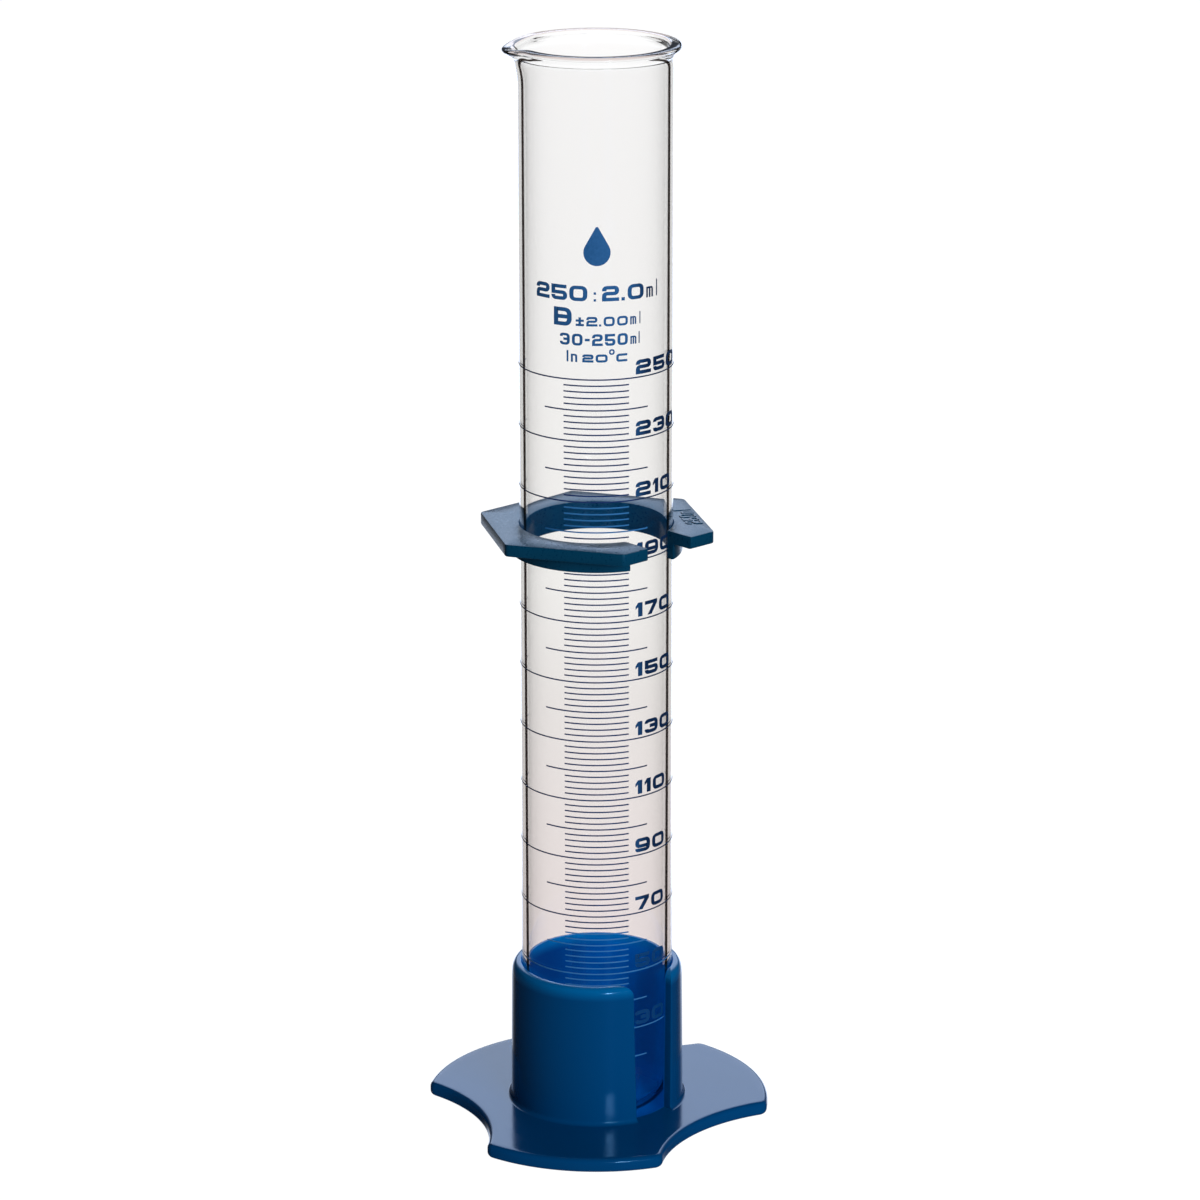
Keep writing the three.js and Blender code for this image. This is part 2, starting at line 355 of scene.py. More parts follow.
def make_foot(material):
    outline, normals = foot_outline()
    unit = outline / np.hypot(outline[:, 0], outline[:, 1])[:, None]
    count = len(outline)

    def level(plan, z):
        return np.column_stack([plan, np.full(count, z)])

    edge = [(FOOT_EDGE * (1 - math.sin(a)), FOOT_EDGE * (1 - math.cos(a)))
            for a in np.radians(np.linspace(0, 90, 8))]
    top_edge = outline - normals * FOOT_EDGE
    underside = [level(unit * r, 0) for r in (FOOT_MIDDLE, SLEEVE_FOOT_RADIUS)]
    underside.append(level(top_edge * 0.94, 0))
    underside += [level(outline - normals * inset, rise) for inset, rise in edge]
    upper = [level(outline - normals * inset, FOOT_TOP - drop) for inset, drop in edge[::-1]]
    round_sleeve = unit * (SLEEVE_FOOT_RADIUS + 2)
    upper += [level(top_edge * (1 - s) + round_sleeve * s, FOOT_TOP) for s in (0.06, 0.35, 0.7, 1)]
    upper.append(level(unit * (BORE_RADIUS + SOCKET_BREAK), FOOT_TOP))
    upper.append(level(unit * BORE_RADIUS, FOOT_TOP - SOCKET_BREAK))
    upper += [level(unit * r, SOCKET_FLOOR) for r in (BORE_RADIUS, BORE_RADIUS - 0.5, FOOT_MIDDLE)]
    verts, faces = skin(underside + upper)
    verts, faces = with_poles(verts, faces, count, [0, 0, 0], [0, 0, SOCKET_FLOOR])
    foot = make_piece("base_foot", verts, faces, material, "base")
    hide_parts("base")


def make_sleeve(material):
    n, corner = 240, 0.3
    mouth = 0.25
    shoulder = SOCKET_TOP - SLEEVE_SHOULDER
    crest = BORE_RADIUS + SLEEVE_CREST
    slit_turn = SOCKET_TOP - SLIT_CORNER
    start = FOOT_TOP - SLEEVE_SINK
    heights = [start + SLEEVE_FILLET * (1 - math.cos(a)) for a in np.radians(np.linspace(0, 90, 9))]
    heights += [*np.linspace(heights[-1], shoulder - 0.1, 14)[1:]]
    heights += [shoulder + SLEEVE_SHOULDER * math.sin(a) for a in np.radians(np.linspace(0, 90, 22))]

    def outer_radius(z):
        taper = (SLEEVE_TOP_RADIUS - SLEEVE_FOOT_RADIUS) / (shoulder - FOOT_TOP)
        wall = SLEEVE_FOOT_RADIUS + taper * (z - FOOT_TOP)
        up = z - start
        if up < SLEEVE_FILLET:
            return wall + SLEEVE_FILLET - math.sqrt(SLEEVE_FILLET ** 2 - (SLEEVE_FILLET - up) ** 2)
        if z > shoulder:
            t = 1 - math.sqrt(max(0, 1 - (z - shoulder) / SLEEVE_SHOULDER))
            return SLEEVE_TOP_RADIUS * (1 - t * t) + crest * t * t
        return wall

    def half_gap(z):
        widening = (SLIT_TOP_HALF - SLIT_FOOT_HALF) / (slit_turn - FOOT_TOP)
        straight = SLIT_FOOT_HALF + widening * (z - FOOT_TOP)
        if z <= slit_turn:
            return straight
        return SLIT_TOP_HALF + SLIT_CORNER - math.sqrt(max(0, SLIT_CORNER ** 2 - (z - slit_turn) ** 2))

    levels = []
    for z in heights:
        flare = max(0, z - (SOCKET_TOP - mouth))
        inner_r, outer_r, gap = BORE_RADIUS + flare, outer_radius(z), half_gap(z)
        round_off = min(corner, (outer_r - inner_r) * 0.3)
        levels.append(open_ring(
            circle_path(outer_r, gap, round_off, n), circle_path(inner_r, gap, round_off, n),
            (tip(outer_r, gap), tip(inner_r, gap)), gap, round_off, z, z,
        ))
    make_open_ring("base_sleeve", levels, n, material, "base")


# ---- bumper guard ---------------------------------------------------------------------------

def hexagon_path(inset, gap, corner):
    """Points of the guard's hexagon from one side of the gap round to the other."""
    apothem = GUARD_CORNER_DISTANCE * math.cos(math.radians(30)) - inset
    distance = apothem / math.cos(math.radians(30))
    cut = 1.0 - 0.5 * inset
    corners = [distance * np.array([math.cos(a), math.sin(a)]) for a in np.radians(np.arange(30, 360, 60))]
    start, end = np.array([apothem, gap + corner]), np.array([apothem, -gap - corner])
    stops = [start, *corners, end]
    points = []
    for i in range(1, len(stops) - 1):
        here, before, after = stops[i], stops[i - 1], stops[i + 1]
        enter = here + (before - here) / np.linalg.norm(before - here) * cut
        leave = here + (after - here) / np.linalg.norm(after - here) * cut
        origin = before if i == 1 else points[-1]
        points += [origin + (enter - origin) * s for s in np.linspace(0, 1, 13)[0 if i == 1 else 1:-1]]
        points += bend(enter, here, leave, 5)
    points += [points[-1] + (end - points[-1]) * s for s in np.linspace(0, 1, 13)[1:]]
    return np.array(points)


def make_guard(material):
    corner = 0.35
    plate_z = GUARD_TOP - GUARD_PLATE
    n = len(hexagon_path(0, GUARD_GAP_HALF, corner))
    skirt = [(GUARD_SKIRT_RADIUS - 0.35, 0), (GUARD_SKIRT_RADIUS - 0.1, 0.1), (GUARD_SKIRT_RADIUS, 0.35)]
    steps = [(r, GUARD_BOTTOM + up) for r, up in skirt]
    steps += [(GUARD_SKIRT_RADIUS, plate_z - 0.5), (GUARD_SKIRT_RADIUS + 0.12, plate_z - 0.18),
              (GUARD_SKIRT_RADIUS + 0.5, plate_z)]
    plate = [(0.4, 0), (0.12, 0.1), (0, 0.35),
             (0, GUARD_PLATE - 0.35), (0.1, GUARD_PLATE - 0.1), (0.35, GUARD_PLATE)]
    levels_in = [(0.3, 0), (0.08, 0.1), (0, 0.35)]
    total = len(steps) + len(plate)
    inner = []
    for i in range(total):
        if i < 3:
            flare, z = levels_in[i][0], GUARD_BOTTOM + levels_in[i][1]
        elif i >= total - 3:
            flare, up = levels_in[total - 1 - i]
            z = GUARD_TOP - up
        else:
            low, high = GUARD_BOTTOM + 0.35, GUARD_TOP - 0.35
            flare, z = 0, low + (high - low) * (i - 2) / (total - 5)
        inner.append((BORE_RADIUS + flare, z))
    levels = []
    for i, (inner_r, inner_z) in enumerate(inner):
        inner_path = circle_path(inner_r, GUARD_GAP_HALF, corner, n)
        if i < len(steps):
            radius, z = steps[i]
            outer = circle_path(radius, GUARD_GAP_HALF, corner, n)
            outer_tip = tip(radius, GUARD_GAP_HALF)
        else:
            inset, up = plate[i - len(steps)]
            z = plate_z + up
            outer = hexagon_path(inset, GUARD_GAP_HALF, corner)
            outer_tip = outer[0][0]
        levels.append(open_ring(outer, inner_path, (outer_tip, tip(inner_r, GUARD_GAP_HALF)),
                                GUARD_GAP_HALF, corner, z, inner_z))
    guard = make_open_ring("bumper_guard_ring", levels, n, material, "guard")
    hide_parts("bumper_guard")


# ---- lettering ------------------------------------------------------------------------------

class Pen:
    """Draws wide, rounded figures as flat strokes, each a pair of edges with the same number of points."""

    def __init__(self, stem, bar):
        self.stem, self.bar = stem, bar
        self.strokes = []

    def line(self, points, radii=None, closed=False, at=(0, 0), spacing=0.4):
        """A stroke along a path whose corners are rounded by radii."""
        points = [np.asarray(p, float) + at for p in points]
        radii = radii or [0] * len(points)
        path = []
        count = len(points)
        for i, p in enumerate(points):
            if not closed and i in (0, count - 1):
                path.append(p)
                continue
            before, after = points[i - 1], points[(i + 1) % count]
            if radii[i] == 0:
                path.append(p)
                continue
            back, on = np.linalg.norm(before - p), np.linalg.norm(after - p)
            first, last = not closed and i == 1, not closed and i == count - 2
            radius = min(radii[i], back * (0.9 if first else 0.5), on * (0.9 if last else 0.5))
            a = p + (before - p) / back * radius
            b = p + (after - p) / on * radius
            path += rounded(a, p, b)
        path = thin_out(path)
        path = subdivided(path, spacing, closed)
        left, right = self.edges(path, closed)
        self.strokes.append((left, right, closed))

    def edges(self, path, closed):
        count = len(path)
        left, right = [], []
        for i, p in enumerate(path):
            before = path[i - 1] if closed or i > 0 else None
            after = path[(i + 1) % count] if closed or i < count - 1 else None
            one = self.offset(before, p) if before is not None else None
            two = self.offset(p, after) if after is not None else None
            if one is None or two is None:
                shift = one if two is None else two
            else:
                shift = meet(before, p, after, one, two)
            left.append(p + shift)
            right.append(p - shift)
        return left, right

    def offset(self, a, b):
        along_path = (b - a) / np.linalg.norm(b - a)
        return np.array([-along_path[1] * self.stem / 2, along_path[0] * self.bar / 2])

    def block(self, low, high, at=(0, 0), steps=4):
        """A stroke between two straight edges, each a pair of points."""
        low = [np.asarray(p, float) + at for p in low]
        high = [np.asarray(p, float) + at for p in high]
        ts = np.linspace(0, 1, steps + 1)
        self.strokes.append(([high[0] + (high[1] - high[0]) * t for t in ts],
                             [low[0] + (low[1] - low[0]) * t for t in ts], False))

    def box(self, x0, y0, x1, y1, at=(0, 0)):
        self.block([(x0, y0), (x1, y0)], [(x0, y1), (x1, y1)], at, max(1, round(abs(x1 - x0) / 0.5)))

    def glyph(self, sign, x, y, w, h):
        s, b, at = self.stem, self.bar, (x, y)
        l, r, lo, hi, mid = s / 2, w - s / 2, b / 2, h - b / 2, h / 2
        big = min(r - l, hi - lo) * 0.36
        small = (hi - mid) * 0.5
        if sign == "0":
            self.line([(l, lo), (r, lo), (r, hi), (l, hi)], [big] * 4, True, at)
        elif sign == "1":
            stem = s * 1.12
            self.block([(w - stem, 0), (w, 0)], [(w - stem, h), (w, h)], at, 3)
            self.block([(0, h * 0.53), (w - stem, h * 0.68)], [(0, h * 0.74), (w - stem, h)], at, 3)
        elif sign == "2":
            self.line([(l, h * 0.66), (l, hi), (r, hi), (r, mid), (l, mid), (l, lo), (w, lo)],
                      [0, small, small, small, small, 0, 0], False, at)
        elif sign == "3":
            self.line([(l, h * 0.70), (l, hi), (r, hi), (r, lo), (l, lo), (l, h * 0.30)],
                      [0, small, big, big, small, 0], False, at)
            self.line([(w * 0.36, mid), (r - s / 2, mid)], None, False, at)
        elif sign == "5":
            self.line([(w * 0.96, hi), (l, hi), (l, mid), (r, mid), (r, lo), (l, lo), (l, h * 0.32)],
                      [0, 0, 0, small, small, small, 0], False, at)
        elif sign == "7":
            self.box(0, h - b, w, h, at)
            self.block([(w * 0.20, 0), (w * 0.20 + s * 1.15, 0)], [(w - s * 1.3, h - b), (w, h - b)], at, 3)
        elif sign == "9":
            loop = h * 0.42
            self.line([(r - s / 2, loop), (l, loop), (l, hi), (r, hi), (r, lo), (l, lo), (l, h * 0.27)],
                      [0, small, small, big, big, b * 0.3, 0], False, at)
        elif sign == "B":
            self.line([(l, lo), (r, lo), (r, hi), (l, hi)], [0, big, big, 0], True, at)
            self.line([(l + s / 2, mid), (r - s / 2, mid)], None, False, at)
        elif sign == "C":
            self.line([(w, hi), (l, hi), (l, lo), (w, lo)], [0, big, big, 0], False, at)
        elif sign in "Il":
            self.box(0, 0, w, h, at)
        elif sign == "n":
            self.line([(l, 0), (l, hi), (r, hi), (r, 0)], [0, 0, small, 0], False, at)
        elif sign == "m":
            self.line([(l, 0), (l, hi), (r, hi), (r, 0)], [0, 0, small, 0], False, at)
            self.line([(w / 2, 0), (w / 2, hi - b / 2)], None, False, at)
        elif sign == ".":
            self.box(0, 0, w, h, at)
        elif sign == ":":
            self.box(0, 0, w, w, at)
            self.box(0, h - w, w, h, at)
        elif sign == "-":
            self.box(0, mid - b / 2, w, mid + b / 2, at)
        elif sign == "+":
            cross = h * 0.62
            self.box(0, 0, w, b, at)
            self.box(0, cross - b / 2, w, cross + b / 2, at)
            self.box((w - s) / 2, cross + b / 2, (w + s) / 2, h, at)
            self.box((w - s) / 2, cross - (h - cross), (w + s) / 2, cross - b / 2, at)
        elif sign == "o":
            self.line([(l, lo), (r, lo), (r, hi), (l, hi)], [(r - l) * 0.48] * 4, True, at, 0.3)

    def write(self, signs, y):
        """signs is a list of (sign, left, right, height)."""
        for sign, x0, x1, h in signs:
            self.glyph(sign, x0, y, x1 - x0, h)

    def solid(self, place, low, high):
        """Vertices and faces of every stroke as a thin closed solid; place maps (x, y, lift) to a point."""
        verts, faces = [], []
        for left, right, closed in self.strokes:
            base = len(verts)
            count = len(left)
            for a, b in zip(left, right):
                verts += [place(*b, low), place(*a, low), place(*a, high), place(*b, high)]
            for k in range(count if closed else count - 1):
                one, two = base + 4 * k, base + 4 * ((k + 1) % count)
                for c in range(4):
                    d = (c + 1) % 4
                    faces.append((one + c, two + c, two + d, one + d))
            if not closed:
                end = base + 4 * (count - 1)
                faces += [(base, base + 1, base + 2, base + 3), (end + 3, end + 2, end + 1, end)]
        return verts, faces


def rounded(a, control, b, steps=7):
    """An arc that starts at a, ends at b and would meet at control."""
    return [(1 - t) ** 2 * a + 2 * t * (1 - t) * control + t * t * b
            for t in (0.5 - 0.5 * math.cos(math.pi * i / steps) for i in range(steps + 1))]


def thin_out(path, least=0.02):
    kept = [path[0]]
    for p in path[1:]:
        if np.linalg.norm(p - kept[-1]) > least:
            kept.append(p)
    return kept


def subdivided(path, spacing, closed):
    out = []
    count = len(path)
    for i in range(count if closed else count - 1):
        a, b = path[i], path[(i + 1) % count]
        parts = max(1, math.ceil(np.linalg.norm(b - a) / spacing))
        out += [a + (b - a) * k / parts for k in range(parts)]
    if not closed:
        out.append(path[-1])
    return out


def meet(before, p, after, one, two):
    """Shift of a path's edge at p, where the edges of the segments before and after it cross."""
    d1, d2 = p - before, after - p
    cross = d1[0] * d2[1] - d1[1] * d2[0]
    if abs(cross) < 1e-9 * np.linalg.norm(d1) * np.linalg.norm(d2) + 1e-12:
        return one
    gap = two - one
    t = (gap[0] * d2[1] - gap[1] * d2[0]) / cross
    return one + d1 * t


def on_tube(x, y, lift):
    """A point on the glass: x is the distance round it from the front, y the level."""
    radius = TUBE_RADIUS + lift
    a = x / TUBE_RADIUS
    return (radius * math.sin(a), -radius * math.cos(a), y)


def make_print(name, pen, material):
    verts, faces = pen.solid(on_tube, ENAMEL_GAP, ENAMEL_GAP + ENAMEL_THICKNESS)
    return make_piece(name, verts, faces, material, "cylinder")


def scale_level(volume):
    return SCALE_ZERO + volume * SCALE_STEP


def scale_lines(pen, volumes, half_angle):
    """Lines round the tube at these volumes, over half_angle degrees to each side of the scale's middle."""
    a, b = (TUBE_RADIUS * math.radians(SCALE_BEARING + side * half_angle) for side in (-1, 1))
    steps = math.ceil(2 * half_angle / 1.25)
    half = LINE_WIDTH / 2
    for volume in volumes:
        z = scale_level(volume)
        pen.block([(a, z - half), (b, z - half)], [(a, z + half), (b, z + half)], steps=steps)


NUMERAL_HEIGHT = 3.95
NUMERAL_START = 11.75
NUMERAL_GAP = 0.82
NUMERAL_LIFT = 0.78
NUMERAL_WIDTH = {"0": 5.45, "1": 2.25, "7": 4.75}
OTHER_NUMERAL_WIDTH = 5.1


def make_scale(line_material, figure_material):
    numbered = list(range(250, 10, -20))
    middle = list(range(240, 10, -20))
    others = [v for v in range(20, 251, 2) if v not in numbered and v not in middle]
    rings, ticks, numerals = Pen(1, 1), Pen(1, 1), Pen(1.3, 1.0)
    scale_lines(rings, numbered, RING_HALF_ANGLE)
    scale_lines(ticks, middle, LONG_TICK_HALF_ANGLE)
    scale_lines(ticks, others, TICK_HALF_ANGLE)
    for volume in numbered:
        x = NUMERAL_START
        for sign in str(volume):
            w = NUMERAL_WIDTH.get(sign, OTHER_NUMERAL_WIDTH)
            numerals.glyph(sign, x, scale_level(volume) + NUMERAL_LIFT, w, NUMERAL_HEIGHT)
            x += w + NUMERAL_GAP
    make_print("scale_rings", rings, line_material)
    make_print("scale_ticks", ticks, line_material)
    make_print("scale_numerals", numerals, figure_material)


def make_inscription(material):
    """Four lines of lettering under a plain drop; each sign is given as (sign, left, right, height)."""
    large, bold, medium = Pen(1.18, 0.96), Pen(1.32, 1.08), Pen(0.8, 0.68)
    fine, thin, hair = Pen(0.66, 0.62), Pen(0.56, 0.5), Pen(0.44, 0.44)
    # capacity and graduation
    large.write([("2", -16.95, -12.35, 4.15), ("5", -11.75, -7.05, 4.15), ("0", -6.45, -1.55, 4.15),
                 (":", 0.1, 0.75, 2.5), ("2", 2.3, 6.9, 4.15), (".", 7.55, 8.5, 0.9),
                 ("0", 9.3, 14.2, 4.15)], 237.05)
    thin.write([("m", 15.1, 17.5, 2.9), ("l", 18.75, 19.15, 4.5)], 237.0)
    # accuracy class and tolerance
    bold.write([("B", -11.0, -5.8, 4.95)], 230.15)
    fine.write([("+", -4.7, -2.5, 2.4), ("2", -1.85, 1.1, 2.6), (".", 1.5, 2.1, 0.55),
                ("0", 2.72, 5.7, 2.6), ("0", 6.35, 9.35, 2.6)], 230.3)
    hair.write([("m", 10.05, 11.85, 2.2), ("l", 12.85, 13.15, 3.3)], 230.35)
    # range
    medium.write([("3", -9.2, -6.35, 3.2), ("0", -5.75, -2.85, 3.2), ("-", -2.25, -0.95, 3.2),
                  ("2", -0.35, 2.5, 3.2), ("5", 3.05, 5.9, 3.2), ("0", 6.45, 9.35, 3.2)], 225.0)
    hair.write([("m", 10.1, 11.9, 2.2), ("l", 12.6, 12.92, 3.2)], 225.0)
    # temperature
    fine.write([("I", -7.25, -6.75, 3.1), ("2", -2.95, 0.05, 2.2), ("0", 0.6, 3.8, 2.2),
                ("C", 6.1, 9.2, 2.2)], 220.5)
    thin.write([("n", -6.05, -4.3, 2.2)], 220.5)
    hair.write([("o", 4.15, 5.7, 1.55)], 222.5)
    drop = Pen(1, 1)
    add_drop(drop, 1.0, 246.6, 3.6, 11.0)
    marks = Pen(1, 1)
    for pen in (large, bold, medium, fine, thin, hair, drop):
        marks.strokes += pen.strokes
    make_print("inscription", marks, material)


def add_drop(pen, x, y, radius, tall):
    """A plain drop: a round bottom that runs up into a point."""
    centre = y + radius
    point = y + tall
    turn = math.acos(radius / (point - centre))
    ts = np.linspace(-math.pi / 2, math.pi / 2 - turn, 22)
    outline = [(radius * math.cos(t), centre + radius * math.sin(t)) for t in ts]
    end = outline[-1]
    outline += [(end[0] * (1 - s), end[1] + (point - end[1]) * s) for s in np.linspace(0, 1, 12)[1:]]
    columns = 8
    for c in range(columns):
        a, b = -1 + 2 * c / columns, -1 + 2 * (c + 1) / columns
        inner = outline[1:-1]
        pen.strokes.append(([np.array([x + a * r, z]) for r, z in inner],
                            [np.array([x + b * r, z]) for r, z in inner], False))


def make_guard_lettering(material):
    """The capacity, raised on the guard's top and read from outside."""
    outward, towards_back = along(105), along(195)
    pen = Pen(0.55, 0.55)
    pen.write([("2", 0, 2.7, 4.6), ("5", 3.3, 6.0, 4.6), ("0", 6.6, 9.3, 4.6), ("m", 10.1, 12.7, 3.3),
               ("l", 13.6, 14.15, 4.8)], 0)
    edge = GUARD_CORNER_DISTANCE * math.cos(math.radians(30)) - 1.1

    def on_guard(x, y, lift):
        plan = outward * (edge - y) + towards_back * (x - 8.6)
        return (plan[0], plan[1], GUARD_TOP + lift)

    verts, faces = pen.solid(on_guard, -0.1, 0.22)
    make_piece("bumper_guard_capacity", verts, faces, material, "guard")


# ---- materials ------------------------------------------------------------------------------

class Nodes:
    """Short hand for adding linked nodes to a node tree."""

    def __init__(self, tree):
        self.nodes, self.links = tree.nodes, tree.links

    def math(self, operation, a, b=None):
        node = self.nodes.new("ShaderNodeMath")
        node.operation = operation
        for socket, value in zip(node.inputs, (a, b)):
            if isinstance(value, (int, float)):
                socket.default_value = value
            elif value is not None:
                self.links.new(value, socket)
        return node.outputs[0]

    def ramp(self, value, stops):
        node = self.nodes.new("ShaderNodeValToRGB")
        elements = node.color_ramp.elements
        elements[1].position = 1
        for position, colour in stops:
            if position in (0, 1):
                element = elements[0 if position == 0 else -1]
            else:
                element = elements.new(position)
            element.color = (*(colour if isinstance(colour, tuple) else (colour,) * 3), 1)
        self.links.new(value, node.inputs["Fac"])
        return node.outputs["Color"]

    def mix(self, factor, a, b, blend="MIX"):
        node = self.nodes.new("ShaderNodeMix")
        node.data_type, node.blend_type = "RGBA", blend
        for name, value in (("Factor", factor), ("A", a), ("B", b)):
            sockets = [s for s in node.inputs if s.name == name and s.enabled]
            if isinstance(value, (int, float)):
                sockets[0].default_value = value
            elif isinstance(value, tuple):
                sockets[0].default_value = (*value, 1)
            else:
                self.links.new(value, sockets[0])
        return [s for s in node.outputs if s.enabled][0]


def new_material(name):
    material = bpy.data.materials.new(name)
    material.use_nodes = True
    nodes, links = material.node_tree.nodes, material.node_tree.links
    shader = nodes["Principled BSDF"]
    place = nodes.new("ShaderNodeTexCoord").outputs["Object"]
    return material, nodes, links, shader, place


def noise(nodes, links, place, scale, detail=3, rough=0.55, stretch=None):
    if stretch:
        mapping = nodes.new("ShaderNodeMapping")
        mapping.inputs["Scale"].default_value = stretch
        links.new(place, mapping.inputs["Vector"])
        place = mapping.outputs["Vector"]
    node = nodes.new("ShaderNodeTexNoise")
    node.inputs["Scale"].default_value = scale
    node.inputs["Detail"].default_value = detail
    node.inputs["Roughness"].default_value = rough
    links.new(place, node.inputs["Vector"])
    return node.outputs["Fac"]


def spread(nodes, links, value, low, high, start=0.3, end=0.7):
    """value from start to end spread over low to high."""
    node = nodes.new("ShaderNodeMapRange")
    node.inputs["From Min"].default_value, node.inputs["From Max"].default_value = start, end
    node.inputs["To Min"].default_value, node.inputs["To Max"].default_value = low, high
    links.new(value, node.inputs["Value"])
    return node.outputs["Result"]


def blend_colours(nodes, links, value, one, two):
    node = nodes.new("ShaderNodeMix")
    node.data_type = "RGBA"
    node.inputs["A"].default_value = (*one, 1)
    node.inputs["B"].default_value = (*two, 1)
    links.new(value, node.inputs["Factor"])
    return node.outputs["Result"]


def add_bump(nodes, links, shader, value, strength, distance):
    node = nodes.new("ShaderNodeBump")
    node.inputs["Strength"].default_value = strength
    node.inputs["Distance"].default_value = distance * MM
    links.new(value, node.inputs["Height"])
    links.new(node.outputs["Normal"], shader.inputs["Normal"])


def clear_of_axis(k, x, y):
    """Distance of a point from the tube's axis."""
    return k.math("SQRT", k.math("ADD", k.math("MULTIPLY", x, x), k.math("MULTIPLY", y, y)))


BLACK = (0.0, 0.0, 0.0)
BASE_BLUES = (0.0, 0.037, 0.127), (0.0, 0.042, 0.146)
SOCKET_PAINTED_SHADE_AND_LIGHT = (0.0, 0.016, 0.085), (0.0, 0.075, 0.33)    # painted shade at its left and painted light at its right
# painted glow: a faint emission in the bore, standing in for light through the socket wall
SOCKET_GLOW = (0.0, 0.016, 0.088)
# painted light: the crest is paler, as if lit through its thin edge
CREST_PAINTED_LIGHT = (0.0, 0.092, 0.270)
BASE_SHEEN = (0.25, 0.6, 1.0, 1)


def moulded_plastic():
    """Glossy moulded plastic with slight flow marks.

    Painted light and shade: the colours and the glow in the bore stand in for the light that comes
    through the thin socket wall, darker at its left and lighter at its right, and the crest is painted
    paler towards the top, as if lit through.
    """
    material, nodes, links, shader, place = new_material("glossy_blue_plastic")
    k = Nodes(material.node_tree)
    flow = spread(nodes, links, noise(nodes, links, place, 28, 2, 0.5, (1, 1, 0.35)), 0, 1)
    colour = blend_colours(nodes, links, flow, *BASE_BLUES)
    way = nodes.new("ShaderNodeSeparateXYZ")
    links.new(place, way.inputs[0])
    x, y, z = way.outputs
    radius = clear_of_axis(k, x, y)
    # painted shade and light in the bore: darker at its left, lighter at its right
    inner = spread(nodes, links, radius, 1, 0, (BORE_RADIUS + 0.1) * MM, (BORE_RADIUS + 0.7) * MM)
    across = spread(nodes, links, x, 0, 1, -0.014, 0.018)
    colour = k.mix(inner, colour, k.mix(across, *SOCKET_PAINTED_SHADE_AND_LIGHT))
    # painted light: the crest is paler towards the top
    crest = spread(nodes, links, z, 0, 1, (SOCKET_TOP - 3.6) * MM, (SOCKET_TOP - 0.6) * MM)
    colour = k.mix(crest, colour, CREST_PAINTED_LIGHT)
    # painted glow in the bore: an emission, though the base is no lamp
    links.new(k.mix(inner, BLACK, SOCKET_GLOW), shader.inputs["Emission Color"])
    shader.inputs["Emission Strength"].default_value = 1.0
    links.new(colour, shader.inputs["Base Color"])
    wear = noise(nodes, links, place, 420, 4, 0.6)
    links.new(spread(nodes, links, wear, 0.11, 0.18), shader.inputs["Roughness"])
    shader.inputs["IOR"].default_value = 1.52
    shader.inputs["Specular Tint"].default_value = BASE_SHEEN
    add_bump(nodes, links, shader, noise(nodes, links, place, 190, 2, 0.4), 0.10, 0.06)
    return material


GUARD_BLUES = (0.0, 0.026, 0.062), (0.0, 0.033, 0.076)
# painted shade in the guard's bore, and a faint painted glow there
GUARD_BORE_PAINTED_SHADE = (0.0, 0.016, 0.040)
GUARD_BORE_GLOW = (0.0, 0.012, 0.038)
GUARD_SHEEN = (0.3, 0.7, 1.0, 1)


def grained_plastic():
    """Moulded plastic with the fine grain of a spark-eroded tool; painted shade and faint glow in its bore.
    """
    material, nodes, links, shader, place = new_material("grained_blue_plastic")
    patch = spread(nodes, links, noise(nodes, links, place, 45, 3, 0.5), 0, 1)
    colour = blend_colours(nodes, links, patch, *GUARD_BLUES)
    k = Nodes(material.node_tree)
    way = nodes.new("ShaderNodeSeparateXYZ")
    links.new(place, way.inputs[0])
    radius = clear_of_axis(k, way.outputs[0], way.outputs[1])
    # painted shade and a faint painted glow in the bore
    inner = spread(nodes, links, radius, 1, 0, (BORE_RADIUS + 0.1) * MM, (BORE_RADIUS + 0.5) * MM)
    colour = k.mix(inner, colour, GUARD_BORE_PAINTED_SHADE)
    links.new(k.mix(inner, BLACK, GUARD_BORE_GLOW), shader.inputs["Emission Color"])
    shader.inputs["Emission Strength"].default_value = 1.0
    links.new(colour, shader.inputs["Base Color"])
    grain = noise(nodes, links, place, 1500, 3, 0.7)
    links.new(spread(nodes, links, grain, 0.25, 0.36), shader.inputs["Roughness"])
    shader.inputs["IOR"].default_value = 1.65
    shader.inputs["Specular Tint"].default_value = GUARD_SHEEN
    add_bump(nodes, links, shader, grain, 0.38, 0.05)
    return material


OUTER_FACE_FROM = 20.2   # distance from the axis
EDGE_LINE = (0.0022, 0.0014, 0.0012)


